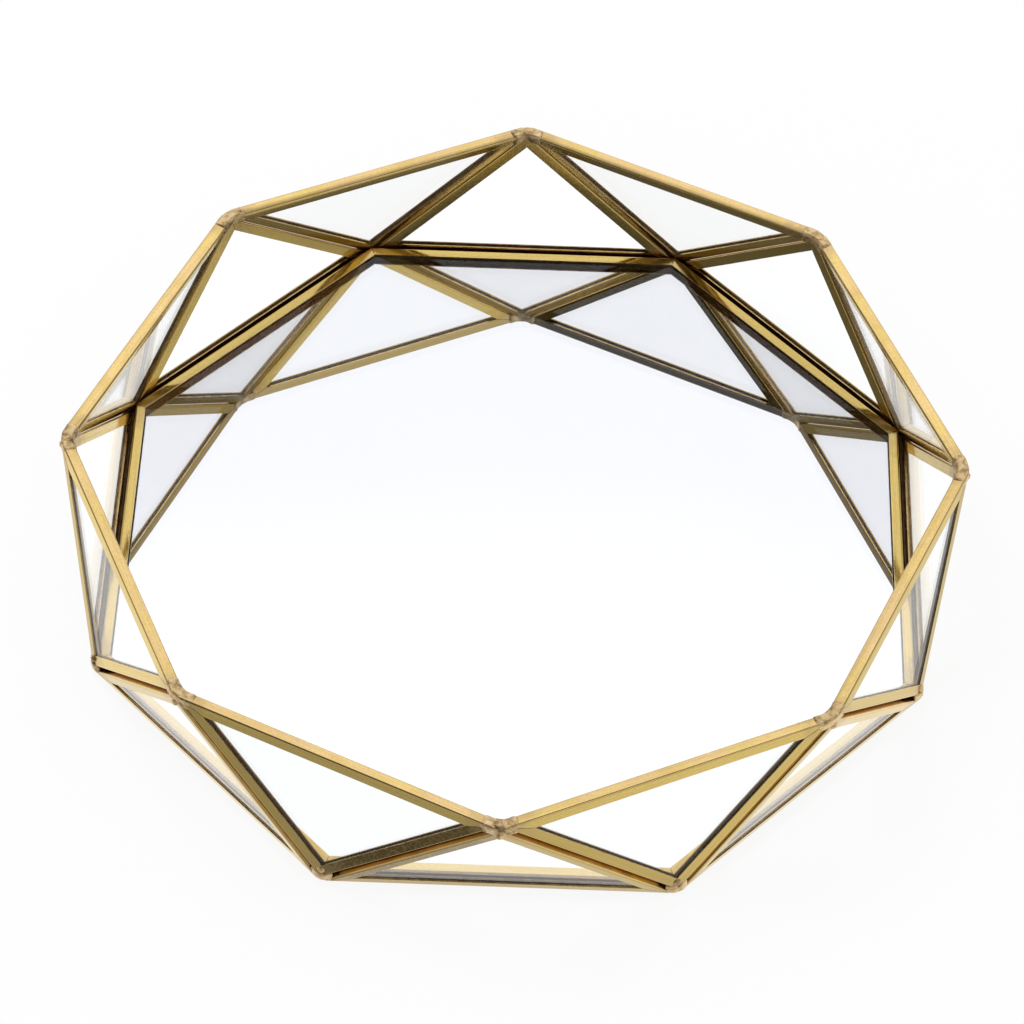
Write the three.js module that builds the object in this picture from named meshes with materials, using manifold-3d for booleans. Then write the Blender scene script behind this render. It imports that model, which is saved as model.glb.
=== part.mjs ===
// Octagonal dresser tray: a framed mirror base and a ring of sixteen glass triangles, each held in its
// own folded brass channel, with the channels soldered together at the corners of rim and base.
// Millimetres, +Z up. The origin is under the middle of the tray, on the surface that it stands on.

import * as THREE from 'three';
import { mergeVertices } from 'three/addons/utils/BufferGeometryUtils.js';
import Module from 'manifold-3d';

const wasm = await Module();
wasm.setup();

// Tray outline
const sides = 8;
const cornerRadius = 125;
const rimCornerSpread = 1.5;
const wallHeight = 43;

// Brass channel round each glass triangle
const paneChannel = { thickness: 3.5, leg: 3.1, wall: 0.4, bend: 0.55 };
const paneSeam = 0.3;
const glassThickness = 2.1;

// Brass channel round the mirror
const mirrorChannel = { thickness: 4.4, leg: 3.1, wall: 0.4, bend: 0.8 };
const mirrorSeam = 0.3;
const mirrorTopAboveBaseLine = 3.2;
const silverThickness = 0.25;

// The felt under the mirror stands this far below the channel, so the tray rests on it
const feltProud = 0.3;

// Fits
const glassClearance = 0.3;
const glueGap = 0.1;

// The mitres of a channel show as fine grooves
const mitreWidth = 0.2;
const mitreDepth = 0.2;

// Solder saddles over the corners, and how far they clear the channels that they join
const solderGap = 0.3;
const saddleReach = 4;
const saddleOverlap = 0.9;
const saddleWidth = 4;
const saddleHeight = 3.6;
const saddleProud = 0.9;

// Fineness of round stretches, in segments
const bendSteps = 2;
const saddleQuarterSteps = 6;

// Mitre grooves run this far past the frame
const overrun = 5;

const brass = new THREE.MeshStandardMaterial({ color: 0xcfa956, roughness: 0.3, metalness: 1 });
const solder = new THREE.MeshStandardMaterial({ color: 0x9c8a68, roughness: 0.55, metalness: 0.8 });
const clearGlass = new THREE.MeshStandardMaterial({
  color: 0xeef4f4, roughness: 0.03, metalness: 0, transparent: true, opacity: 0.25,
});
const silver = new THREE.MeshStandardMaterial({ color: 0xf2f3f5, roughness: 0.02, metalness: 1 });
const felt = new THREE.MeshStandardMaterial({ color: 0x1d1d1f, roughness: 0.95, metalness: 0 });

// Corners of the two octagons. The base is turned by half a side against the rim.
const sideAngle = 2 * Math.PI / sides;
const baseTurnShare = 0.5;
const apothemShare = Math.cos(sideAngle / 2);
const channelFloor = feltProud;
const baseLine = channelFloor + mirrorChannel.thickness - mirrorTopAboveBaseLine;
const rimLine = baseLine + wallHeight;

function ringPoint(radius, angle, height) {
  return new THREE.Vector3(radius * Math.cos(angle), radius * Math.sin(angle), height);
}

function rimCorner(k) {
  const spread = k % 2 === 0 ? rimCornerSpread : -rimCornerSpread;
  return ringPoint(cornerRadius + spread, k * sideAngle, rimLine);
}

function baseCorner(k) {
  return ringPoint(cornerRadius, (k + baseTurnShare) * sideAngle, baseLine);
}

// Solids: three.js meshes go into the boolean library and come back as plain geometries
function toSolid(geometry) {
  const bare = geometry.clone();
  bare.deleteAttribute('normal');
  bare.deleteAttribute('uv');
  const merged = mergeVertices(bare);
  const vertProperties = new Float32Array(merged.attributes.position.array);
  const triVerts = new Uint32Array(merged.index.array);
  return new wasm.Manifold(new wasm.Mesh({ numProp: 3, vertProperties, triVerts }));
}

function toGeometry(solid) {
  const mesh = solid.getMesh();
  const geometry = new THREE.BufferGeometry();
  geometry.setAttribute('position', new THREE.BufferAttribute(new Float32Array(mesh.vertProperties), 3));
  geometry.setIndex(new THREE.BufferAttribute(new Uint32Array(mesh.triVerts), 1));
  const faceted = geometry.toNonIndexed();
  faceted.computeVertexNormals();
  return faceted;
}

function subtractAll(geometry, cutters) {
  let solid = toSolid(geometry);
  for (const cutter of cutters) solid = solid.subtract(toSolid(cutter));
  return toGeometry(solid);
}

// Outlines in a plane, listed anticlockwise. Each side moves inwards by its own inset.
function insetOutline(outline, insets) {
  const count = outline.length;
  const lines = outline.map((start, i) => {
    const along = outline[(i + 1) % count].clone().sub(start).normalize();
    const inward = new THREE.Vector2(-along.y, along.x);
    return { start: start.clone().addScaledVector(inward, insets[i]), along };
  });
  return lines.map((line, i) => {
    const before = lines[(i + count - 1) % count];
    const offset = line.start.clone().sub(before.start);
    const reach = offset.cross(line.along) / before.along.cross(line.along);
    return before.start.clone().addScaledVector(before.along, reach);
  });
}

function evenInset(outline, inset) {
  return insetOutline(outline, outline.map(() => inset));
}

// Section of a folded channel: x runs inwards from the back of the channel, y across its thickness
function channelSection({ thickness, leg, wall, bend }) {
  const half = thickness / 2;
  const inner = bend - wall;
  const section = new THREE.Path();
  section.moveTo(leg, half);
  section.lineTo(bend, half);
  section.absarc(bend, half - bend, bend, Math.PI / 2, Math.PI, false);
  section.absarc(bend, bend - half, bend, Math.PI, -Math.PI / 2, false);
  section.lineTo(leg, -half);
  section.lineTo(leg, wall - half);
  section.absarc(bend, bend - half, inner, -Math.PI / 2, Math.PI, true);
  section.absarc(bend, half - bend, inner, Math.PI, Math.PI / 2, true);
  section.lineTo(leg, half - wall);
  return section.getPoints(bendSteps);
}

// A section carried round an outline, mitred at every corner, makes one closed frame
function sweepFrame(outline, section) {
  const rings = section.map((point) => {
    return evenInset(outline, point.x).map((corner) => [corner.x, corner.y, point.y]);
  });
  const positions = [];
  for (let side = 0; side < outline.length; side++) {
    const next = (side + 1) % outline.length;
    for (let i = 0; i < rings.length; i++) {
      const ring = rings[i];
      const ahead = rings[(i + 1) % rings.length];
      positions.push(...ring[side], ...ahead[side], ...ahead[next]);
      positions.push(...ring[side], ...ahead[next], ...ring[next]);
    }
  }
  const geometry = new THREE.BufferGeometry();
  geometry.setAttribute('position', new THREE.Float32BufferAttribute(positions, 3));
  return geometry;
}

function plate(outline, thickness) {
  const shape = new THREE.Shape(outline);
  const geometry = new THREE.ExtrudeGeometry(shape, { depth: thickness, bevelEnabled: false });
  return geometry.translate(0, 0, -thickness / 2);
}

// Fine grooves along the mitres, on both faces of a frame
function mitreGrooves(outline, channel) {
  const inner = evenInset(outline, channel.leg);
  const grooves = [];
  outline.forEach((corner, i) => {
    const run = inner[i].clone().sub(corner);
    const length = 2 * run.length() + overrun;
    for (const face of [-1, 1]) {
      const groove = new THREE.BoxGeometry(length, mitreWidth, 2 * mitreDepth);
      groove.rotateZ(run.angle());
      grooves.push(groove.translate(corner.x, corner.y, face * channel.thickness / 2));
    }
  });
  return grooves;
}

// The half gap that a frame leaves to its neighbour, so that the round inner edges clear by the seam
function seamInset(normalA, normalB) {
  const half = normalA.angleTo(normalB) / 2;
  const { thickness, bend } = paneChannel;
  const touching = thickness / 2 * Math.tan(half) - bend * (1 + Math.tan(half) - 1 / Math.cos(half));
  return touching + paneSeam / 2 / Math.cos(half);
}

// The triangles of the wall. Corners run anticlockwise seen from outside: the long side's two corners
// lie on the rim or the base, and the apex on the other octagon.
function outwardNormal(corners) {
  const [a, b, c] = corners;
  return b.clone().sub(a).cross(c.clone().sub(a)).normalize();
}

function rimTriangle(k) {
  return [rimCorner(k + 1), rimCorner(k), baseCorner(k)];
}

function baseTriangle(k) {
  return [baseCorner(k - 1), baseCorner(k), rimCorner(k)];
}

// A pane's own frame: x along its long side, z outwards, and the nominal outline in that plane
function paneLayout(corners, apexNeighbours) {
  const normal = outwardNormal(corners);
  const along = corners[1].clone().sub(corners[0]).normalize();
  const across = normal.clone().cross(along);
  const placement = new THREE.Matrix4().makeBasis(along, across, normal).setPosition(corners[0]);
  const flat = placement.clone().invert();
  const nominal = corners.map((corner) => {
    const local = corner.clone().applyMatrix4(flat);
    return new THREE.Vector2(local.x, local.y);
  });
  const insets = apexNeighbours.map((neighbour) => seamInset(normal, outwardNormal(neighbour)));
  return { placement, outline: insetOutline(nominal, [0, ...insets]) };
}

function paneFrame(layout) {
  const frame = sweepFrame(layout.outline, channelSection(paneChannel));
  return subtractAll(frame, mitreGrooves(layout.outline, paneChannel));
}

function paneGlass(layout) {
  return plate(evenInset(layout.outline, paneChannel.wall + glassClearance), glassThickness);
}

// The octagonal base, built about its own mid-height
function octagon(apothem) {
  const outline = [];
  for (let k = 0; k < sides; k++) {
    const corner = ringPoint(apothem / apothemShare, (k + baseTurnShare) * sideAngle, 0);
    outline.push(new THREE.Vector2(corner.x, corner.y));
  }
  return outline;
}

function mirrorApothem() {
  const baseApothem = cornerRadius * apothemShare;
  const lean = Math.atan2(cornerRadius - baseApothem, wallHeight);
  return baseApothem - paneChannel.thickness / 2 / Math.cos(lean) - mirrorSeam;
}

function mirrorFrame() {
  const outline = octagon(mirrorApothem());
  const frame = sweepFrame(outline, channelSection(mirrorChannel));
  return subtractAll(frame, mitreGrooves(outline, mirrorChannel));
}

// Solder lies over a corner as a saddle: two crossed bars, less the room of what they join
function solderBar(corner, toward, middle) {
  const along = toward.clone().sub(corner).normalize();
  const start = corner.clone().addScaledVector(along, -saddleOverlap);
  const end = corner.clone().addScaledVector(along, saddleReach);
  start.z += middle;
  end.z += middle;
  const section = new THREE.Shape();
  section.absellipse(0, 0, saddleHeight / 2, saddleWidth / 2, 0, 2 * Math.PI, false, 0);
  const extrudePath = new THREE.LineCurve3(start, end);
  return new THREE.ExtrudeGeometry(section, {
    steps: 1, curveSegments: saddleQuarterSteps, extrudePath, bevelEnabled: false,
  });
}

function paneRoom({ placement, outline }) {
  const room = plate(evenInset(outline, -solderGap), paneChannel.thickness + 2 * solderGap);
  return room.applyMatrix4(placement);
}

function insideRoom(cornerAt, line, upward) {
  const outline = [];
  for (let k = 0; k < sides; k++) outline.push(new THREE.Vector2(cornerAt(k).x, cornerAt(k).y));
  const room = plate(outline, saddleHeight + solderGap);
  return room.translate(0, 0, line + upward * (solderGap - saddleHeight) / 2);
}

function solderSaddle(corner, ends, upward, rooms) {
  const middle = upward * (saddleProud - saddleHeight / 2);
  const [first, second] = ends.map((end) => toSolid(solderBar(corner, end, middle)));
  return subtractAll(toGeometry(first.add(second)), rooms);
}

const tray = new THREE.Group();

function addPiece(parent, name, geometry, material, place) {
  const piece = new THREE.Mesh(geometry, material);
  piece.name = name;
  if (place) piece.applyMatrix4(place);
  parent.add(piece);
}

function addLevel(parent, name, geometry, material, middle) {
  addPiece(parent, name, geometry, material, new THREE.Matrix4().makeTranslation(0, 0, middle));
}

function addWall(rimPanes, basePanes) {
  for (let k = 0; k < sides; k++) {
    const [rim, base] = [rimPanes[k], basePanes[k]];
    addPiece(tray, `rim_channel_${k + 1}`, paneFrame(rim), brass, rim.placement);
    addPiece(tray, `rim_glass_${k + 1}`, paneGlass(rim), clearGlass, rim.placement);
    addPiece(tray, `base_channel_${k + 1}`, paneFrame(base), brass, base.placement);
    addPiece(tray, `base_glass_${k + 1}`, paneGlass(base), clearGlass, base.placement);
  }
}

function addSolder(rimPanes, basePanes) {
  for (let k = 0; k < sides; k++) {
    const before = (k + sides - 1) % sides;
    const after = (k + 1) % sides;
    const above = [rimPanes[before], rimPanes[k], basePanes[k]].map(paneRoom);
    const below = [basePanes[k], basePanes[after], rimPanes[k]].map(paneRoom);
    above.push(insideRoom(rimCorner, rimLine, 1));
    below.push(insideRoom(baseCorner, baseLine, -1));
    const top = solderSaddle(rimCorner(k), [rimCorner(k - 1), rimCorner(k + 1)], 1, above);
    const bottom = solderSaddle(baseCorner(k), [baseCorner(k - 1), baseCorner(k + 1)], -1, below);
    addPiece(tray, `rim_solder_${k + 1}`, top, solder);
    addPiece(tray, `base_solder_${k + 1}`, bottom, solder);
  }
}

function addBase() {
  const base = new THREE.Group();
  base.position.z = channelFloor;
  tray.add(base);
  const backing = mirrorChannel.wall + glassClearance;
  const silverTop = backing + silverThickness;
  const mirrorEdge = mirrorApothem() - mirrorChannel.wall - glassClearance;
  const mirrorThickness = mirrorChannel.thickness - backing - silverTop - glueGap;
  const feltEdge = mirrorApothem() - mirrorChannel.leg - glassClearance;
  const feltTop = backing - glueGap;
  const feltThickness = feltTop + feltProud;
  addLevel(base, 'mirror_channel', mirrorFrame(), brass, mirrorChannel.thickness / 2);
  addLevel(base, 'mirror_silvering', plate(octagon(mirrorEdge), silverThickness), silver,
    backing + silverThickness / 2);
  addLevel(base, 'mirror_glass', plate(octagon(mirrorEdge), mirrorThickness), clearGlass,
    silverTop + glueGap + mirrorThickness / 2);
  addLevel(base, 'base_felt', plate(octagon(feltEdge), feltThickness), felt, feltTop - feltThickness / 2);
}

const rimPanes = [];
const basePanes = [];
for (let k = 0; k < sides; k++) {
  rimPanes.push(paneLayout(rimTriangle(k), [baseTriangle(k), baseTriangle(k + 1)]));
  basePanes.push(paneLayout(baseTriangle(k), [rimTriangle(k), rimTriangle(k - 1)]));
}
addWall(rimPanes, basePanes);
addSolder(rimPanes, basePanes);
addBase();

export default tray;
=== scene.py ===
"""Looks for the brass and glass dresser tray: finishes, soldered corners, light and camera."""

import math
import random

import bpy
from mathutils import Matrix, Vector


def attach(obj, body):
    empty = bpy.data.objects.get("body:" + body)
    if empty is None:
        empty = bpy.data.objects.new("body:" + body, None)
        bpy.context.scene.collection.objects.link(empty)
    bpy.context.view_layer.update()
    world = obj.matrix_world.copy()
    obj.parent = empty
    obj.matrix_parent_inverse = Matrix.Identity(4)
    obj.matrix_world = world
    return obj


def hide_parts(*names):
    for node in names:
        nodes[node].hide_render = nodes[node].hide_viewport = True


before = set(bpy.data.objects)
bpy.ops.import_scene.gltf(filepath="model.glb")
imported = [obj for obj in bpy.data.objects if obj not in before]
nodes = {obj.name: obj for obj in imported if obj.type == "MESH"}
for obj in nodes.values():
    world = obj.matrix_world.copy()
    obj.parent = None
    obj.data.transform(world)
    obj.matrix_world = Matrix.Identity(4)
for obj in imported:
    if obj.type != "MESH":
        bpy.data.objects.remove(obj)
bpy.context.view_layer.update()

MM = 0.001
SIDES = 8
SIDE_ANGLE = 2 * math.pi / SIDES
CORNER_RADIUS = 125 * MM
# The rim's corners stand this far out and in by turns
RIM_SPREAD = 1.5 * MM
BASE_LINE = 1.5 * MM
RIM_LINE = 44.5 * MM


def ring_point(radius, angle, height):
    return Vector((radius * math.cos(angle), radius * math.sin(angle), height))


def rim_corner(k):
    shift = RIM_SPREAD if k % 2 == 0 else -RIM_SPREAD
    return ring_point(CORNER_RADIUS + shift, k * SIDE_ANGLE, RIM_LINE)


def base_corner(k):
    """A corner of the base, which is turned against the rim by half a side."""
    return ring_point(CORNER_RADIUS, (k + 0.5) * SIDE_ANGLE, BASE_LINE)


# Node trees

def add(tree, kind, *links, **settings):
    """A node with its settings. Each link is (input name or number, value or output socket)."""
    node = tree.nodes.new(kind)
    for name, value in settings.items():
        setattr(node, name, value)
    for key, value in links:
        if isinstance(value, bpy.types.NodeSocket):
            tree.links.new(value, node.inputs[key])
        else:
            node.inputs[key].default_value = value
    return node


def math_node(tree, operation, *values):
    return add(tree, "ShaderNodeMath", *enumerate(values), operation=operation).outputs[0]


def vector_node(tree, operation, *values):
    node = add(tree, "ShaderNodeVectorMath", *enumerate(values), operation=operation)
    return node.outputs["Value"] if operation in ("DOT_PRODUCT", "LENGTH") else node.outputs[0]


def scaled(tree, vector, amount):
    return add(tree, "ShaderNodeVectorMath", (0, vector), ("Scale", amount), operation="SCALE").outputs[0]


def object_place(tree):
    return add(tree, "ShaderNodeTexCoord").outputs["Object"]


def attribute(tree, name, output="Fac"):
    return add(tree, "ShaderNodeAttribute", attribute_name=name).outputs[output]


def ramp(tree, value, *stops):
    """A colour ramp with stops of (position, colour)."""
    node = add(tree, "ShaderNodeValToRGB", (0, value))
    elements = node.color_ramp.elements
    while len(elements) < len(stops):
        elements.new(0.5)
    for element, (position, colour) in zip(elements, stops):
        element.position = position
        element.color = (*colour, 1)
    return node.outputs["Color"]


def spread(tree, value, low, high, to_low=0.0, to_high=1.0):
    node = add(tree, "ShaderNodeMapRange", (0, value), (1, low), (2, high), (3, to_low), (4, to_high))
    return node.outputs[0]


def noise(tree, where, scale, detail=3.0, roughness=0.55):
    node = add(tree, "ShaderNodeTexNoise", ("Vector", where), ("Scale", scale), ("Detail", detail),
               ("Roughness", roughness))
    return node.outputs["Fac"]


def mix(tree, share, first, second, blend="MIX"):
    node = add(tree, "ShaderNodeMix", (0, share), (6, first), (7, second), data_type="RGBA",
               blend_type=blend)
    return node.outputs[2]


def group_tree(name, inputs, outputs, kind="ShaderNodeTree"):
    tree = bpy.data.node_groups.new(name, kind)
    for label, socket, value in inputs:
        item = tree.interface.new_socket(label, in_out="INPUT", socket_type=socket)
        if value is not None:
            item.default_value = value
    for label, socket in outputs:
        tree.interface.new_socket(label, in_out="OUTPUT", socket_type=socket)
    return tree, tree.nodes.new("NodeGroupInput"), tree.nodes.new("NodeGroupOutput")


def new_material(name):
    """A material, its node tree and the Principled shader that it shows at first."""
    material = bpy.data.materials.new(name)
    material.use_nodes = True
    tree = material.node_tree
    tree.nodes.clear()
    tree.nodes.new("ShaderNodeOutputMaterial")
    surface = tree.nodes.new("ShaderNodeBsdfPrincipled")
    show(tree, surface.outputs[0])
    return material, tree, surface


def show(tree, shader):
    """Makes a shader the one that the material shows."""
    tree.links.new(shader, tree.nodes["Material Output"].inputs["Surface"])


def place_group(tree, group, **values):
    return add(tree, "ShaderNodeGroup", *values.items(), node_tree=group)


# Effects that several finishes share

def brushed_group():
    """Fine streaks along the strip, read from the direction that each face carries."""
    tree, start, end = group_tree(
        "brushed_streaks",
        [("Scale", "NodeSocketFloat", 900.0), ("Stretch", "NodeSocketFloat", 0.03)],
        [("Streaks", "NodeSocketFloat"), ("Blotches", "NodeSocketFloat"), ("Speckle", "NodeSocketFloat"),
         ("Blush", "NodeSocketFloat")])
    where = object_place(tree)
    along = attribute(tree, "strip", "Vector")
    travel = vector_node(tree, "DOT_PRODUCT", where, along)
    squeeze = math_node(tree, "SUBTRACT", start.outputs["Stretch"], 1.0)
    shift = scaled(tree, along, math_node(tree, "MULTIPLY", travel, squeeze))
    squeezed = vector_node(tree, "ADD", where, shift)
    tree.links.new(noise(tree, squeezed, start.outputs["Scale"], 4.0, 0.6), end.inputs["Streaks"])
    tree.links.new(noise(tree, where, 130.0, 5.0, 0.62), end.inputs["Blotches"])
    tree.links.new(noise(tree, where, 1500.0, 2.0, 0.6), end.inputs["Speckle"])
    tree.links.new(noise(tree, where, 85.0, 3.0, 0.55), end.inputs["Blush"])
    return tree


def edge_group():
    """Where a surface turns sharply: cut edges and tight bends, for wear and a painted highlight."""
    tree, start, end = group_tree(
        "edge_wear_and_highlight",
        [("Breakup", "NodeSocketFloat", 260.0)],
        [("Edge", "NodeSocketFloat")])
    rounded = add(tree, "ShaderNodeBevel", ("Radius", 0.25 * MM), samples=4).outputs[0]
    plain = add(tree, "ShaderNodeNewGeometry").outputs["Normal"]
    turn = math_node(tree, "SUBTRACT", 1.0, vector_node(tree, "DOT_PRODUCT", rounded, plain))
    where = object_place(tree)
    patchy = spread(tree, noise(tree, where, start.outputs["Breakup"]), 0.35, 0.6)
    worn_and_highlit = math_node(tree, "MULTIPLY", spread(tree, turn, 0.01, 0.12), patchy)
    tree.links.new(worn_and_highlit, end.inputs["Edge"])
    return tree


def crevice_group():
    """Grooves and inside corners, darkened by ambient occlusion: partly a brown tarnish that flux and polish
    leave, partly painted shade.
    """
    tree, start, end = group_tree(
        "crevice_tarnish_and_shade",
        [("Reach", "NodeSocketFloat", 3.0 * MM)],
        [("Depth", "NodeSocketFloat")])
    look_round = add(tree, "ShaderNodeAmbientOcclusion", ("Distance", start.outputs["Reach"]), samples=8)
    where = object_place(tree)
    uneven = spread(tree, noise(tree, where, 200.0), 0.3, 0.7, -0.1, 0.1)
    closed = math_node(tree, "SUBTRACT", math_node(tree, "ADD", 0.75, uneven), look_round.outputs["AO"])
    tree.links.new(spread(tree, closed, 0.0, 0.4), end.inputs["Depth"])
    return tree


def stain_group():
    """Heat and flux stains on the brass close to the soldered corners of rim and base."""
    tree, start, end = group_tree(
        "solder_stain",
        [("Reach", "NodeSocketFloat", 12.0 * MM)],
        [("Stain", "NodeSocketFloat")])
    where = object_place(tree)
    axes = add(tree, "ShaderNodeSeparateXYZ", (0, where)).outputs
    turn = math_node(tree, "DIVIDE", math_node(tree, "ARCTAN2", axes[1], axes[0]), SIDE_ANGLE)
    apart = []
    for line, shift in ((RIM_LINE, 0.5), (BASE_LINE, 0.0)):
        share = math_node(tree, "FRACT", math_node(tree, "ADD", turn, SIDES + shift))
        arc = math_node(tree, "MULTIPLY", math_node(tree, "SUBTRACT", share, 0.5), SIDE_ANGLE * CORNER_RADIUS)
        rise = math_node(tree, "SUBTRACT", axes[2], line)
        away = add(tree, "ShaderNodeCombineXYZ", (0, arc), (1, rise)).outputs[0]
        apart.append(vector_node(tree, "LENGTH", away))
    nearest = math_node(tree, "MINIMUM", *apart)
    cloudy = noise(tree, where, 230.0, 4.0, 0.65)
    edge = math_node(tree, "MULTIPLY", cloudy, math_node(tree, "MULTIPLY", start.outputs["Reach"], 2.0))
    reached = spread(tree, math_node(tree, "SUBTRACT", edge, nearest), 0.0, 5.0 * MM)
    tree.links.new(reached, end.inputs["Stain"])
    return tree


brushed = brushed_group()
edge_wear_and_highlight = edge_group()
stain = stain_group()
crevice = crevice_group()


# Finishes

def brass_finish():
    """Bright brushed brass strip, stained near the solder, with painted shade and tarnish in the grooves,
    painted reflection in the tones of its legs and a painted highlight mixed with wear on its edges.
    """
    material, tree, surface = new_material("brushed_brass")
    grain = place_group(tree, brushed, Scale=1500.0, Stretch=0.02)
    worn_and_highlit = place_group(tree, edge_wear_and_highlight, Breakup=300.0)
    leg = attribute(tree, "leg")
    tone = attribute(tree, "tone")
    patch = spread(tree, grain.outputs["Blotches"], 0.35, 0.7)
    back = mix(tree, patch, (0.93, 0.685, 0.275, 1), (0.79, 0.56, 0.20, 1))
    back = mix(tree, spread(tree, grain.outputs["Blush"], 0.42, 0.62, 0.0, 0.6), back, (0.92, 0.655, 0.34, 1))
    back = mix(tree, spread(tree, grain.outputs["Blush"], 0.44, 0.3, 0.0, 0.5), back, (0.90, 0.71, 0.225, 1))
    # Painted reflection: the legs run from near black to bright brass by their strip's tone, darker than the
    # backs; the tone is set in the table for some channels and drawn at random for the rest.
    side = mix(tree, tone, (0.11, 0.08, 0.03, 1), (0.86, 0.64, 0.205, 1))
    folded = mix(tree, leg, back, side)
    # Painted shade and tarnish: grooves and inside corners darken to a red-brown by ambient occlusion.
    tarnish_and_shade = place_group(tree, crevice, Reach=3.0 * MM).outputs["Depth"]
    folded = mix(tree, math_node(tree, "MULTIPLY", tarnish_and_shade, 0.85), folded, (0.30, 0.145, 0.045, 1))
    burnt = place_group(tree, stain, Reach=11.0 * MM).outputs["Stain"]
    folded = mix(tree, math_node(tree, "MULTIPLY", burnt, 0.4), folded, (0.55, 0.39, 0.20, 1))
    streaked = mix(tree, spread(tree, grain.outputs["Streaks"], 0.4, 0.7, 0.0, 0.28), folded,
                   (0.42, 0.28, 0.10, 1))
    streaked = mix(tree, spread(tree, grain.outputs["Speckle"], 0.46, 0.62, 0.0, 0.3), streaked,
                   (0.60, 0.42, 0.17, 1))
    # Edges and tight bends turn pale gold: partly wear, partly painted highlight.
    edged = mix(tree, worn_and_highlit.outputs["Edge"], streaked, (0.98, 0.83, 0.48, 1))
    inside = attribute(tree, "inside")
    cloudy = mix(tree, patch, (0.80, 0.78, 0.72, 1), (0.62, 0.58, 0.50, 1))
    tree.links.new(mix(tree, inside, edged, cloudy), surface.inputs["Base Color"])
    tree.links.new(math_node(tree, "SUBTRACT", 1.0, inside), surface.inputs["Metallic"])
    smoother = spread(tree, grain.outputs["Streaks"], 0.3, 0.7, 0.06, 0.15)
    dulled = math_node(tree, "MULTIPLY_ADD", burnt, 0.12, smoother)
    dulled = math_node(tree, "MULTIPLY_ADD", worn_and_highlit.outputs["Edge"], 0.3, dulled)
    tree.links.new(math_node(tree, "MULTIPLY_ADD", inside, 0.5, dulled), surface.inputs["Roughness"])
    height = math_node(tree, "MULTIPLY_ADD", grain.outputs["Blotches"], 3.0, grain.outputs["Streaks"])
    plain = add(tree, "ShaderNodeNewGeometry").outputs["Normal"]
    crown = attribute(tree, "crown", "Vector")
    bowed = vector_node(tree, "NORMALIZE", vector_node(tree, "ADD", plain, crown))
    bump = add(tree, "ShaderNodeBump", ("Height", height), ("Strength", 0.18), ("Distance", 0.05 * MM),
               ("Normal", bowed))
    tree.links.new(bump.outputs[0], surface.inputs["Normal"])
    return material


def solder_finish(name, least=0.0):
    """Dull brassed solder: tan where it was plated, darkened nearly to black in the hollows as painted shade
    and tarnish. Least is the least that it is darkened anywhere, which lays that much painted shade over the
    whole solder."""
    material, tree, surface = new_material(name)
    where = object_place(tree)
    coarse = noise(tree, where, 420.0, 5.0, 0.62)
    fine = noise(tree, where, 2200.0, 3.0, 0.6)
    colour = ramp(tree, coarse, (0.3, (0.17, 0.115, 0.06)), (0.42, (0.50, 0.345, 0.165)),
                  (0.54, (0.80, 0.575, 0.29)), (0.72, (0.93, 0.74, 0.48)))
    # Painted shade: the hollows and the least share darken the solder towards near black.
    hollow = place_group(tree, crevice, Reach=2.5 * MM).outputs["Depth"]
    darkness = math_node(tree, "MAXIMUM", math_node(tree, "MULTIPLY", hollow, 0.75), least)
    colour = mix(tree, darkness, colour, (0.05, 0.035, 0.02, 1))
    tree.links.new(colour, surface.inputs["Base Color"])
    surface.inputs["Metallic"].default_value = 0.85
    tree.links.new(spread(tree, fine, 0.3, 0.7, 0.24, 0.44), surface.inputs["Roughness"])
    height = math_node(tree, "MULTIPLY_ADD", coarse, 2.0, fine)
    bump = add(tree, "ShaderNodeBump", ("Height", height), ("Strength", 0.7), ("Distance", 0.18 * MM))
    tree.links.new(bump.outputs[0], surface.inputs["Normal"])
    return material


def glass_finish():
    """Clear sheet glass with faint wipe marks. Lamps shine through it."""
    material, tree, surface = new_material("clear_sheet_glass")
    where = object_place(tree)
    wiped = noise(tree, where, 34.0, 4.0, 0.6)
    surface.inputs["Base Color"].default_value = (0.985, 0.992, 0.995, 1)
    surface.inputs["Transmission Weight"].default_value = 1.0
    surface.inputs["IOR"].default_value = 1.5
    tree.links.new(spread(tree, wiped, 0.6, 0.9, 0.0, 0.004), surface.inputs["Roughness"])
    clear = add(tree, "ShaderNodeBsdfTransparent", ("Color", (0.96, 0.975, 0.975, 1)))
    shadow = add(tree, "ShaderNodeLightPath").outputs["Is Shadow Ray"]
    mixed = add(tree, "ShaderNodeMixShader", (0, shadow), (1, surface.outputs[0]), (2, clear.outputs[0]))
    show(tree, mixed.outputs[0])
    return material


def silver_finish():
    """The silvered back of the mirror, with a trace of unevenness."""
    material, tree, surface = new_material("mirror_silver")
    where = object_place(tree)
    cloud = noise(tree, where, 18.0, 2.0, 0.5)
    tree.links.new(mix(tree, cloud, (0.97, 0.97, 0.975, 1), (0.95, 0.952, 0.965, 1)),
                   surface.inputs["Base Color"])
    surface.inputs["Metallic"].default_value = 1.0
    surface.inputs["Roughness"].default_value = 0.0
    return material


def felt_finish():
    """Short black felt: soft, with tangled fibres."""
    material, tree, surface = new_material("black_felt")
    where = object_place(tree)
    fibres = noise(tree, where, 1400.0, 6.0, 0.75)
    cloud = noise(tree, where, 90.0, 3.0, 0.6)
    tone = math_node(tree, "MULTIPLY_ADD", cloud, 0.4, fibres)
    tree.links.new(ramp(tree, tone, (0.4, (0.008, 0.008, 0.009)), (0.9, (0.05, 0.05, 0.054))),
                   surface.inputs["Base Color"])
    surface.inputs["Roughness"].default_value = 0.95
    surface.inputs["Sheen Weight"].default_value = 0.4
    bump = add(tree, "ShaderNodeBump", ("Height", fibres), ("Strength", 0.8), ("Distance", 0.3 * MM))
    tree.links.new(bump.outputs[0], surface.inputs["Normal"])
    return material


brass = brass_finish()
solder = solder_finish("brassed_solder")
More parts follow.
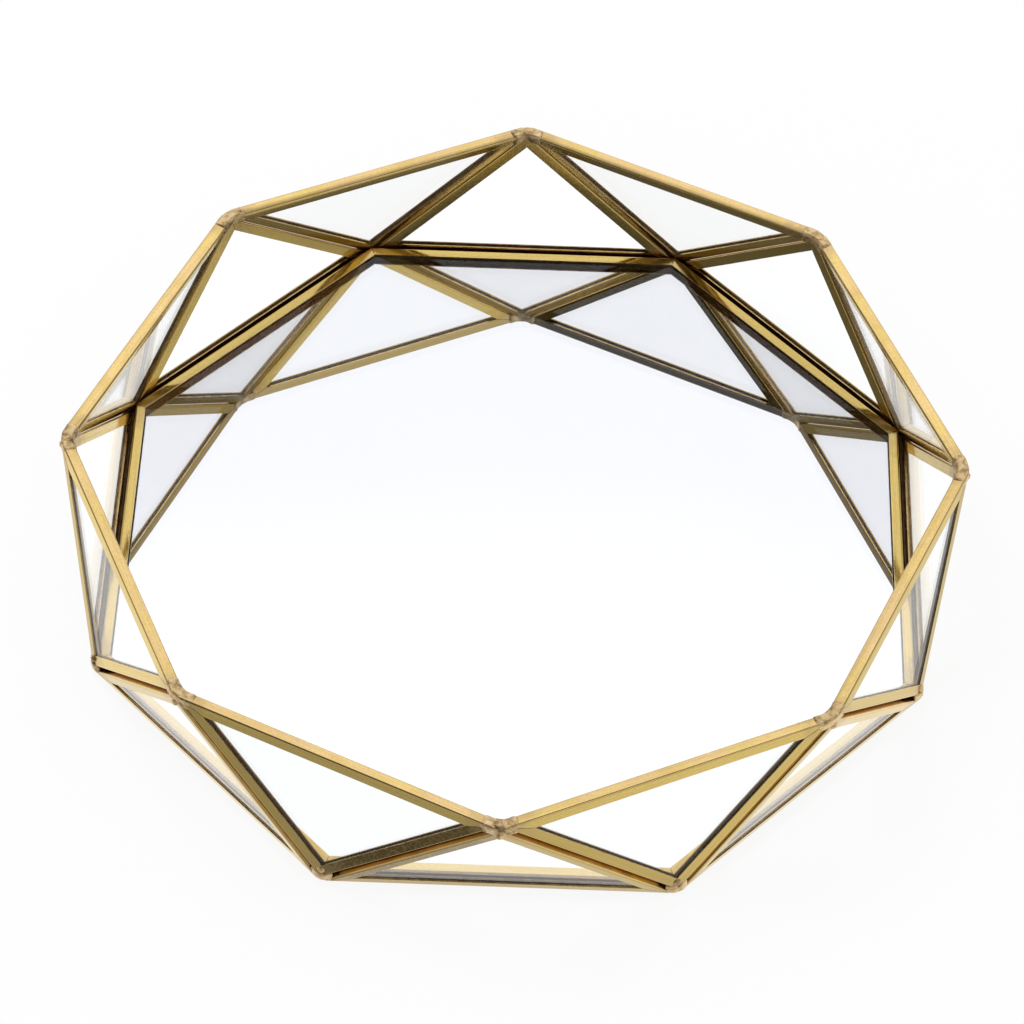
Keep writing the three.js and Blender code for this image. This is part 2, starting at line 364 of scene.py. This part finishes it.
# Painted shadow: this solder is darkened almost to black everywhere, for the shade in the gap beside the
# mirror's channel.
painted_shadow_solder = solder_finish("painted_shadow_solder", 0.92)
clear_glass = glass_finish()
silver = silver_finish()
felt = felt_finish()


# Bends and strip directions on the folded channels

def store(tree, geometry, name, value, data_type="FLOAT", domain="FACE"):
    return add(tree, "GeometryNodeStoreNamedAttribute", ("Geometry", geometry), ("Name", name),
               ("Value", value), data_type=data_type, domain=domain).outputs[0]


def choose(tree, test, when_not, when_so, input_type="FLOAT"):
    return add(tree, "GeometryNodeSwitch", (0, test), (1, when_not), (2, when_so),
               input_type=input_type).outputs[0]


def strip_tree():
    """Rounds the shading over the bends, and stores the direction of each strip, a mask of the fold's
    legs, a tone for each strip that is painted reflection where the table sets it, the lean of a slightly
    bowed back and a mask of the inner faces."""
    tree, start, end = group_tree(
        "folded_strip",
        [("Geometry", "NodeSocketGeometry", None), ("Pane normal", "NodeSocketVector", (0.0, 0.0, 1.0)),
         ("Pane middle", "NodeSocketVector", (0.0, 0.0, 0.0)),
         ("Long side", "NodeSocketVector", (1.0, 0.0, 0.0)),
         ("Groove", "NodeSocketFloat", 1.34 * MM), ("Lining", "NodeSocketFloat", 0.2),
         ("Tones", "NodeSocketVector", (0.9, 0.9, 0.9)), ("Bow", "NodeSocketFloat", 60.0),
         ("Sharp angle", "NodeSocketFloat", 0.6)],
        [("Geometry", "NodeSocketGeometry")], kind="GeometryNodeTree")
    plain = add(tree, "GeometryNodeRemoveAttribute", ("Geometry", start.outputs["Geometry"]),
                ("Name", "custom_normal")).outputs[0]
    joined = add(tree, "GeometryNodeMergeByDistance", ("Geometry", plain), ("Distance", 1e-6)).outputs[0]
    place = add(tree, "GeometryNodeInputPosition").outputs[0]
    face = add(tree, "GeometryNodeInputIndex").outputs[0]
    corners = []
    for turn in range(3):
        corner = add(tree, "GeometryNodeCornersOfFace", ("Face Index", face), ("Sort Index", turn))
        vertex = add(tree, "GeometryNodeVertexOfCorner", ("Corner Index", corner.outputs["Corner Index"]))
        point = add(tree, "GeometryNodeFieldAtIndex", ("Index", vertex.outputs[0]), ("Value", place),
                    data_type="FLOAT_VECTOR", domain="POINT")
        corners.append(point.outputs[0])
    edges = [vector_node(tree, "SUBTRACT", corners[(i + 1) % 3], corners[i]) for i in range(3)]
    longest = edges[0]
    for edge in edges[1:]:
        longer = math_node(tree, "GREATER_THAN", vector_node(tree, "LENGTH", edge),
                           vector_node(tree, "LENGTH", longest))
        longest = choose(tree, longer, longest, edge, "VECTOR")
    direction = vector_node(tree, "NORMALIZE", longest)
    marked = store(tree, joined, "strip", direction, "FLOAT_VECTOR")
    normal = add(tree, "GeometryNodeInputNormal").outputs[0]
    facing = vector_node(tree, "DOT_PRODUCT", normal, start.outputs["Pane normal"])
    leg = spread(tree, math_node(tree, "ABSOLUTE", facing), 0.55, 0.95)
    marked = store(tree, marked, "leg", leg)
    upward = vector_node(tree, "CROSS_PRODUCT", start.outputs["Pane normal"], start.outputs["Long side"])
    run = vector_node(tree, "DOT_PRODUCT", direction, start.outputs["Long side"])
    climb = vector_node(tree, "DOT_PRODUCT", direction, upward)
    level = math_node(tree, "LESS_THAN", math_node(tree, "ABSOLUTE", climb), 0.15)
    falling = math_node(tree, "LESS_THAN", math_node(tree, "MULTIPLY", run, climb), 0.0)
    tones = add(tree, "ShaderNodeSeparateXYZ", (0, start.outputs["Tones"])).outputs
    tone = choose(tree, level, choose(tree, falling, tones[2], tones[1]), tones[0])
    marked = store(tree, marked, "tone", tone)
    from_middle = vector_node(tree, "SUBTRACT", place, start.outputs["Pane middle"])
    across = vector_node(tree, "DOT_PRODUCT", from_middle, start.outputs["Pane normal"])
    bowed = math_node(tree, "MULTIPLY", across, start.outputs["Bow"])
    lean = scaled(tree, start.outputs["Pane normal"], bowed)
    marked = store(tree, marked, "crown", lean, "FLOAT_VECTOR", "POINT")
    turned_in = math_node(tree, "LESS_THAN", math_node(tree, "MULTIPLY", facing, across), -0.5 * MM)
    upright = math_node(tree, "LESS_THAN", math_node(tree, "ABSOLUTE", facing), 0.5)
    outward = vector_node(tree, "DOT_PRODUCT", normal, from_middle)
    in_groove = math_node(tree, "LESS_THAN", math_node(tree, "ABSOLUTE", across), start.outputs["Groove"])
    floor_face = math_node(tree, "MULTIPLY", math_node(tree, "MULTIPLY", upright, in_groove),
                           math_node(tree, "LESS_THAN", outward, 0.0))
    inner = math_node(tree, "MAXIMUM", turned_in, floor_face)
    marked = store(tree, marked, "inside", math_node(tree, "MULTIPLY", inner, start.outputs["Lining"]))
    smooth = add(tree, "GeometryNodeSetShadeSmooth", ("Geometry", marked), ("Shade Smooth", True),
                 domain="FACE").outputs[0]
    bent = add(tree, "GeometryNodeInputMeshEdgeAngle").outputs["Unsigned Angle"]
    sharp = math_node(tree, "GREATER_THAN", bent, start.outputs["Sharp angle"])
    edged = add(tree, "GeometryNodeSetShadeSmooth", ("Geometry", smooth), ("Selection", sharp),
                ("Shade Smooth", False), domain="EDGE").outputs[0]
    tree.links.new(edged, end.inputs["Geometry"])
    return tree


def set_input(modifier, label, value):
    items = modifier.node_group.interface.items_tree
    socket = next(i for i in items if i.in_out == "INPUT" and i.name == label)
    modifier[socket.identifier] = value


folded_strip = strip_tree()


def bed_tree():
    """Thickens a glass pane by 26 %, so that it nearly fills its channel as a bedded pane does. The shown
    pane is then 2.65 mm thick where the CAD's is 2.1 mm, so it departs from the frame's size."""
    tree, start, end = group_tree(
        "bedded_pane",
        [("Geometry", "NodeSocketGeometry", None), ("Pane normal", "NodeSocketVector", (0.0, 0.0, 1.0)),
         ("Pane middle", "NodeSocketVector", (0.0, 0.0, 0.0)), ("Swell", "NodeSocketFloat", 0.26)],
        [("Geometry", "NodeSocketGeometry")], kind="GeometryNodeTree")
    place = add(tree, "GeometryNodeInputPosition").outputs[0]
    from_middle = vector_node(tree, "SUBTRACT", place, start.outputs["Pane middle"])
    across = vector_node(tree, "DOT_PRODUCT", from_middle, start.outputs["Pane normal"])
    swollen = math_node(tree, "MULTIPLY", across, start.outputs["Swell"])
    push = scaled(tree, start.outputs["Pane normal"], swollen)
    moved = add(tree, "GeometryNodeSetPosition", ("Geometry", start.outputs["Geometry"]), ("Offset", push))
    tree.links.new(moved.outputs[0], end.inputs["Geometry"])
    return tree


bedded_pane = bed_tree()


def finish_node(name, material):
    piece = nodes[name]
    piece.data.materials.clear()
    piece.data.materials.append(material)
    return piece


def fold_node(name, corners, middle, tones):
    piece = finish_node(name, brass)
    modifier = piece.modifiers.new("folded_strip", "NODES")
    modifier.node_group = folded_strip
    a, b, c = corners
    set_input(modifier, "Pane normal", tuple((b - a).cross(c - a).normalized()))
    set_input(modifier, "Pane middle", tuple(middle))
    set_input(modifier, "Long side", tuple((b - a).normalized()))
    set_input(modifier, "Tones", tones)
    set_input(modifier, "Lining", LININGS.get(name, USUAL_LINING))
    flats = piece.modifiers.new("flat_faces", "WEIGHTED_NORMAL")
    flats.keep_sharp = True


def bed_node(name, corners):
    piece = finish_node(name, clear_glass)
    a, b, c = corners
    normal = (b - a).cross(c - a).normalized()
    depths = [vertex.co.dot(normal) for vertex in piece.data.vertices]
    modifier = piece.modifiers.new("bedded_pane", "NODES")
    modifier.node_group = bedded_pane
    set_input(modifier, "Pane normal", tuple(normal))
    set_input(modifier, "Pane middle", tuple(normal * (min(depths) + max(depths)) / 2))


# How bright each strip of a channel is, as painted reflection of a dark room: its long side, then the two
# slanted sides
PAINTED_REFLECTION_TONES = {
    "rim_channel_2": (0.5, 0.7, 0.9),
    "rim_channel_5": (1.0, 0.65, 1.0),
    "rim_channel_6": (1.0, 0.75, 0.0),
    "rim_channel_7": (0.95, 0.7, 0.85),
    "rim_channel_8": (0.72, 0.75, 0.5),
    "base_channel_7": (0.42, 0.52, 0.12),
    "base_channel_8": (0.76, 0.85, 0.68),
}
# How much pale cement shows inside a channel, where it isn't the usual trace
USUAL_LINING = 0.2
LININGS = {
    "rim_channel_5": 1.0,
    "rim_channel_8": 1.0,
    "base_channel_1": 0.0,
    "base_channel_5": 0.0,
    "mirror_channel": 0.0,
}
dice = random.Random(11)
MIRROR_LEVEL = 2.5 * MM


def strip_tones(name):
    """The tones set for a channel, which are painted reflection, or else drawn ones, which differ at random.
    Every channel takes its draws, set or not.
    """
    drawn = tuple(dice.uniform(0.6, 1.0) for side in range(3))
    return PAINTED_REFLECTION_TONES.get(name, drawn)


for k in range(SIDES):
    rim_name, base_name = f"rim_channel_{k + 1}", f"base_channel_{k + 1}"
    rim_pane = (rim_corner(k + 1), rim_corner(k), base_corner(k))
    base_pane = (base_corner(k - 1), base_corner(k), rim_corner(k))
    fold_node(rim_name, rim_pane, sum(rim_pane, Vector()) / 3, strip_tones(rim_name))
    fold_node(base_name, base_pane, sum(base_pane, Vector()) / 3, strip_tones(base_name))
    bed_node(f"rim_glass_{k + 1}", rim_pane)
    bed_node(f"base_glass_{k + 1}", base_pane)
mirror_middle = Vector((0, 0, MIRROR_LEVEL))
mirror_corners = (mirror_middle, mirror_middle + Vector((1, 0, 0)), mirror_middle + Vector((0, 1, 0)))
fold_node("mirror_channel", mirror_corners, mirror_middle, (1.0, 1.0, 1.0))
finish_node("mirror_glass", clear_glass)
finish_node("mirror_silvering", silver)
finish_node("base_felt", felt)


# Soldered corners

def solder_skin(tree, geometry, where, ragged, material, **texture):
    """Pushes a surface in and out by a noise, shades it smooth and gives it its material."""
    lumpy = add(tree, "ShaderNodeTexNoise", ("Vector", where), *texture.items()).outputs["Fac"]
    push = math_node(tree, "MULTIPLY", math_node(tree, "SUBTRACT", lumpy, 0.5), ragged)
    offset = scaled(tree, add(tree, "GeometryNodeInputNormal").outputs[0], push)
    lump = add(tree, "GeometryNodeSetPosition", ("Geometry", geometry), ("Offset", offset)).outputs[0]
    smooth = add(tree, "GeometryNodeSetShadeSmooth", ("Geometry", lump), ("Shade Smooth", True)).outputs[0]
    real = add(tree, "GeometryNodeRealizeInstances", ("Geometry", smooth)).outputs[0]
    return add(tree, "GeometryNodeSetMaterial", ("Geometry", real), ("Material", material)).outputs[0]


def joint_tree():
    """A ragged lump of solder along a bent line, thinner where the line bends, laid over both ends."""
    tree, start, end = group_tree(
        "solder_joint",
        [("Geometry", "NodeSocketGeometry", None), ("Start", "NodeSocketVector", (0.0, 0.0, 0.0)),
         ("Corner", "NodeSocketVector", (0.0, 0.0, 0.0)), ("End", "NodeSocketVector", (0.0, 0.0, 0.0)),
         ("Radius", "NodeSocketFloat", 1.7 * MM), ("Ragged", "NodeSocketFloat", 0.5 * MM),
         ("Drop", "NodeSocketVector", (0.0, 0.0, 0.0)), ("Drop radius", "NodeSocketFloat", 1.5 * MM),
         ("Seed", "NodeSocketFloat", 0.0), ("Material", "NodeSocketMaterial", None)],
        [("Geometry", "NodeSocketGeometry")], kind="GeometryNodeTree")
    line = add(tree, "GeometryNodeCurveQuadraticBezier", ("Resolution", 40),
               ("Start", start.outputs["Start"]), ("Middle", start.outputs["Corner"]),
               ("End", start.outputs["End"])).outputs[0]
    share = add(tree, "GeometryNodeSplineParameter").outputs["Factor"]
    from_middle = math_node(tree, "ABSOLUTE", math_node(tree, "MULTIPLY_ADD", share, 2.0, -1.0))
    ridge = math_node(tree, "POWER", from_middle, 4.0)
    fuller = math_node(tree, "MULTIPLY_ADD", ridge, 0.1, 0.92)
    blunt = math_node(tree, "POWER", from_middle, 14.0)
    closing = math_node(tree, "SQRT", math_node(tree, "SUBTRACT", 1.0, blunt))
    size = math_node(tree, "MULTIPLY", math_node(tree, "MULTIPLY", fuller, closing), start.outputs["Radius"])
    upright = add(tree, "GeometryNodeSetCurveNormal", ("Curve", line)).outputs[0]
    sized = add(tree, "GeometryNodeSetCurveRadius", ("Curve", upright), ("Radius", size)).outputs[0]
    square = add(tree, "GeometryNodeCurvePrimitiveQuadrilateral", ("Width", 2.0), ("Height", 2.0)).outputs[0]
    rounded = add(tree, "GeometryNodeFilletCurve", ("Curve", square), ("Radius", 0.45), ("Count", 8),
                  mode="POLY").outputs[0]
    ring = add(tree, "GeometryNodeResampleCurve", ("Curve", rounded), ("Count", 48)).outputs[0]
    radius = add(tree, "GeometryNodeInputRadius").outputs[0]
    sweep = add(tree, "GeometryNodeCurveToMesh", ("Curve", sized), ("Profile Curve", ring), ("Scale", radius),
                ("Fill Caps", True))
    ball = add(tree, "GeometryNodeMeshIcoSphere", ("Radius", start.outputs["Drop radius"]),
               ("Subdivisions", 4)).outputs[0]
    drop = add(tree, "GeometryNodeTransform", ("Geometry", ball), ("Translation", start.outputs["Drop"]))
    both = tree.nodes.new("GeometryNodeJoinGeometry")
    tree.links.new(sweep.outputs[0], both.inputs[0])
    tree.links.new(drop.outputs[0], both.inputs[0])
    place = add(tree, "GeometryNodeInputPosition").outputs[0]
    seeded = add(tree, "ShaderNodeCombineXYZ", (0, start.outputs["Seed"])).outputs[0]
    moved = vector_node(tree, "ADD", place, seeded)
    dressed = solder_skin(tree, both.outputs[0], moved, start.outputs["Ragged"], start.outputs["Material"],
                          Scale=420.0, Detail=4.0, Roughness=0.6)
    tree.links.new(dressed, end.inputs["Geometry"])
    return tree


solder_joint = joint_tree()


def make_piece(name, group, inputs):
    """Evaluates a node group once and keeps the result as a plain mesh."""
    blank = bpy.data.objects.new(name + "_maker", bpy.data.meshes.new(name + "_blank"))
    bpy.context.scene.collection.objects.link(blank)
    modifier = blank.modifiers.new(group.name, "NODES")
    modifier.node_group = group
    for label, value in inputs.items():
        set_input(modifier, label, value)
    graph = bpy.context.evaluated_depsgraph_get()
    mesh = bpy.data.meshes.new_from_object(blank.evaluated_get(graph), depsgraph=graph)
    mesh.name = name
    piece = bpy.data.objects.new(name, mesh)
    bpy.context.scene.collection.objects.link(piece)
    bpy.data.objects.remove(blank)
    return piece


def make_joint(name, corners, reach, radius, drop, seed):
    """Solder over the middle one of three corners, with a drop of it beside the corner."""
    before, corner, after = corners
    outward = Vector((corner.x, corner.y, 0)).normalized()
    bulge = 1.2
    return make_piece(name, solder_joint, {
        "Start": tuple(corner + (before - corner).normalized() * reach),
        "Corner": tuple(corner + outward * bulge * MM),
        "End": tuple(corner + (after - corner).normalized() * reach),
        "Radius": radius,
        "Ragged": 0.7 * MM,
        "Drop": tuple(corner + drop),
        "Drop radius": 1.3 * MM,
        "Seed": seed,
        "Material": solder,
    })


# The solder sits this far below the rim's line and above the base's
INTO_WALL = Vector((0, 0, 1.5 * MM))
for k in range(SIDES):
    rim = [rim_corner(i) - INTO_WALL for i in (k - 1, k, k + 1)]
    below = rim_corner(k) / rim_corner(k).length * 0.7 * MM - Vector((0, 0, 2.0 * MM))
    top = make_joint(f"rim_joint_{k + 1}", rim, 5.4 * MM, 1.95 * MM, below, 0.37 * k)
    base = [base_corner(i) + INTO_WALL for i in (k - 1, k, k + 1)]
    above = base_corner(k) / base_corner(k).length * 0.4 * MM + Vector((0, 0, 2.2 * MM))
    low = make_joint(f"base_joint_{k + 1}", base, 2.6 * MM, 1.85 * MM, above, 5.1 + 0.53 * k)
    for joint, node in ((top, f"rim_solder_{k + 1}"), (low, f"base_solder_{k + 1}")):
        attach(joint, "root")
        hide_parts(node)


def seam_tree():
    """A run of solder that closes the seam between the mirror's channel and the wall."""
    tree, start, end = group_tree(
        "solder_seam",
        [("Geometry", "NodeSocketGeometry", None), ("Apothem", "NodeSocketFloat", 113.85 * MM),
         ("Height", "NodeSocketFloat", 2.9 * MM), ("Radius", "NodeSocketFloat", 0.55 * MM),
         ("Material", "NodeSocketMaterial", None)],
        [("Geometry", "NodeSocketGeometry")], kind="GeometryNodeTree")
    reach = math_node(tree, "DIVIDE", start.outputs["Apothem"], math.cos(SIDE_ANGLE / 2))
    ring = add(tree, "GeometryNodeMeshCircle", ("Vertices", SIDES), ("Radius", reach))
    raised = add(tree, "ShaderNodeCombineXYZ", (2, start.outputs["Height"])).outputs[0]
    turned = add(tree, "GeometryNodeTransform", ("Geometry", ring.outputs[0]), ("Translation", raised),
                 ("Rotation", (0.0, 0.0, SIDE_ANGLE / 2))).outputs[0]
    line = add(tree, "GeometryNodeMeshToCurve", ("Mesh", turned)).outputs[0]
    fine = add(tree, "GeometryNodeResampleCurve", ("Curve", line), ("Count", SIDES * 80)).outputs[0]
    thick = add(tree, "GeometryNodeCurvePrimitiveCircle", ("Resolution", 10),
                ("Radius", start.outputs["Radius"])).outputs[0]
    bead = add(tree, "GeometryNodeCurveToMesh", ("Curve", fine), ("Profile Curve", thick)).outputs[0]
    place = add(tree, "GeometryNodeInputPosition").outputs[0]
    dressed = solder_skin(tree, bead, place, 0.3 * MM, start.outputs["Material"], Scale=300.0, Detail=3.0)
    tree.links.new(dressed, end.inputs["Geometry"])
    return tree


# The seam takes the near-black solder: painted shadow in the gap.
seam = make_piece("solder_seam", seam_tree(), {"Material": painted_shadow_solder})
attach(seam, "root")


# Floor, surroundings and light

def seen_white(tree, colour, white):
    """White for what the camera sees, directly or through glass; the given shader otherwise."""
    path = add(tree, "ShaderNodeLightPath").outputs
    seen = math_node(tree, "MAXIMUM", path["Is Camera Ray"], path["Is Transmission Ray"])
    strength = spread(tree, path["Is Transmission Ray"], 0.0, 1.0, 1.0, 1.15)
    glow = add(tree, "ShaderNodeEmission", ("Color", (1, 1, 1, 1)), ("Strength", strength)).outputs[0]
    share = math_node(tree, "MULTIPLY", seen, white)
    return add(tree, "ShaderNodeMixShader", (0, share), (1, colour), (2, glow)).outputs[0]


def make_floor():
    size = 6.0
    mesh = bpy.data.meshes.new("floor")
    corners = [(-size, -size, 0), (size, -size, 0), (size, size, 0), (-size, size, 0)]
    mesh.from_pydata([(x, y, z - 0.02 * MM) for x, y, z in corners], [], [(0, 1, 2, 3)])
    floor = bpy.data.objects.new("floor", mesh)
    bpy.context.scene.collection.objects.link(floor)
    material, tree, surface = new_material("pale_floor")
    surface.inputs["Base Color"].default_value = (0.9, 0.9, 0.9, 1)
    surface.inputs["Roughness"].default_value = 0.9
    surface.inputs["Specular IOR Level"].default_value = 0.1
    show(tree, seen_white(tree, surface.outputs[0], 0.9))
    mesh.materials.append(material)
    floor.visible_glossy = False


def make_tent():
    """The room that gloss reflects: bright behind and below, dark overhead and by the camera. Its top and
    bottom are closed above and below the highest and lowest ring."""
    radius, rings, spokes, highest = 2.4, 48, 64, 89
    points, faces = [], []
    for ring in range(rings + 1):
        up = math.radians(highest * (2 * ring / rings - 1))
        for spoke in range(spokes):
            turn = 2 * math.pi * spoke / spokes
            points.append((radius * math.cos(up) * math.cos(turn), radius * math.cos(up) * math.sin(turn),
                           radius * math.sin(up)))
    for ring in range(rings):
        for spoke in range(spokes):
            a, b = ring * spokes + spoke, ring * spokes + (spoke + 1) % spokes
            faces.append((a, a + spokes, b + spokes, b))
    faces.append(tuple(range(spokes)))
    faces.append(tuple(range(rings * spokes, (rings + 1) * spokes)))
    mesh = bpy.data.meshes.new("tent")
    mesh.from_pydata(points, [], faces)
    tent = bpy.data.objects.new("tent", mesh)
    bpy.context.scene.collection.objects.link(tent)
    material, tree, surface = new_material("room_round_table")
    tree.nodes.remove(surface)
    where = vector_node(tree, "NORMALIZE", object_place(tree))
    right, ahead, height = add(tree, "ShaderNodeSeparateXYZ", (0, where)).outputs
    sideways, forward = (spread(tree, axis, -1.0, 1.0) for axis in (right, ahead))
    above = ramp(tree, forward, (0.2, (0.04, 0.037, 0.033)), (0.4, (0.21, 0.2, 0.19)),
                 (0.47, (0.13, 0.125, 0.12)), (0.59, (0.11, 0.105, 0.1)), (0.7, (0.97, 0.97, 0.97)),
                 (0.74, (1.0, 1.0, 1.0)))
    flank = ramp(tree, sideways, (0.19, (0.19, 0.185, 0.18)), (0.29, (1.0, 1.0, 1.0)),
                 (0.71, (1.0, 1.0, 1.0)), (0.81, (0.36, 0.35, 0.34)))
    above = mix(tree, 1.0, above, flank, "DARKEN")
    low_back = ramp(tree, height, (0.0, (0.3, 0.3, 0.3)), (0.2, (0.6, 0.6, 0.6)), (0.4, (0.95, 0.95, 0.95)),
                    (0.6, (0.95, 0.945, 0.96)), (0.73, (0.925, 0.925, 0.95)), (0.765, (0.942, 0.937, 0.977)),
                    (0.785, (0.975, 0.97, 1.0)), (0.81, (1.0, 1.0, 1.0)))
    above = mix(tree, 1.0, above, low_back, "MULTIPLY")
    left_back = ramp(tree, sideways, (0.35, (0.86, 0.86, 0.86)), (0.45, (0.94, 0.94, 0.94)),
                     (0.53, (1.0, 1.0, 1.0)))
    above = mix(tree, spread(tree, height, 0.7, 0.63), above, left_back, "MULTIPLY")
    above = mix(tree, spread(tree, height, 0.14, 0.34), (0.5, 0.5, 0.51, 1), above)
    towards_window = vector_node(tree, "DOT_PRODUCT", where, (0.62, -0.5, 0.6))
    above = mix(tree, spread(tree, towards_window, 0.82, 0.94), above, (0.62, 0.61, 0.58, 1), "LIGHTEN")
    towards_dark = vector_node(tree, "DOT_PRODUCT", where, (-0.5, -0.85, 0.0))
    below = ramp(tree, towards_dark, (0.05, (0.95, 0.95, 0.95)), (0.35, (0.68, 0.68, 0.68)),
                 (0.85, (0.37, 0.37, 0.37)))
    colour = mix(tree, spread(tree, height, -0.25, 0.1), below, above)
    glow = add(tree, "ShaderNodeEmission", ("Color", colour), ("Strength", 1.1)).outputs[0]
    show(tree, glow)
    mesh.materials.append(material)
    tent.visible_camera = tent.visible_diffuse = False
    tent.visible_volume_scatter = tent.visible_shadow = False


def make_light():
    world = bpy.data.worlds.new("studio")
    bpy.context.scene.world = world
    world.use_nodes = True
    background = world.node_tree.nodes["Background"]
    background.inputs["Color"].default_value = (1, 1, 1, 1)
    tree = world.node_tree
    path = add(tree, "ShaderNodeLightPath").outputs
    seen = math_node(tree, "MAXIMUM", path["Is Camera Ray"], path["Is Glossy Ray"])
    seen = math_node(tree, "MAXIMUM", seen, path["Is Transmission Ray"])
    tree.links.new(spread(tree, seen, 0.0, 1.0, 0.8, 1.0), background.inputs["Strength"])
    lamp = bpy.data.lights.new("soft_box", "AREA")
    lamp.shape = "DISK"
    lamp.size = 0.7
    lamp.energy = 7.0
    box = bpy.data.objects.new("soft_box", lamp)
    bpy.context.scene.collection.objects.link(box)
    box.location = (-0.45, 0.5, 1.3)
    box.visible_glossy = box.visible_transmission = False
    box.rotation_euler = (Vector((0, 0, 0)) - Vector(box.location)).to_track_quat("-Z", "Y").to_euler()


def make_camera():
    """The photograph's view, fitted to the edges of the brass."""
    elevation, roll, turn = 0.9019, -0.0294, math.radians(0.43)
    distance = 1106.2 * MM
    sensor, focal_share = 36.0, 3.7259
    ahead = Vector((0, math.cos(elevation), -math.sin(elevation)))
    level = Vector((1, 0, 0))
    upward = level.cross(ahead)
    right = math.cos(roll) * level - math.sin(roll) * upward
    up = math.sin(roll) * level + math.cos(roll) * upward
    about = Matrix.Rotation(turn, 3, "Z")
    axes = Matrix((right, up, -ahead)).transposed()
    data = bpy.data.cameras.new("camera")
    data.sensor_width = sensor
    data.lens = sensor * focal_share
    data.shift_y = 0.0346
    data.clip_start, data.clip_end = 0.01, 20.0
    camera = bpy.data.objects.new("camera", data)
    bpy.context.scene.collection.objects.link(camera)
    place = about @ (-distance * ahead) + Vector((0, 0, BASE_LINE))
    camera.matrix_world = Matrix.Translation(place) @ (about @ axes).to_4x4()
    bpy.context.scene.camera = camera


make_floor()
make_tent()
make_light()
make_camera()

cycles = bpy.context.scene.cycles
cycles.max_bounces, cycles.glossy_bounces, cycles.transmission_bounces = 20, 10, 16

bpy.context.scene.view_settings.view_transform = "Standard"
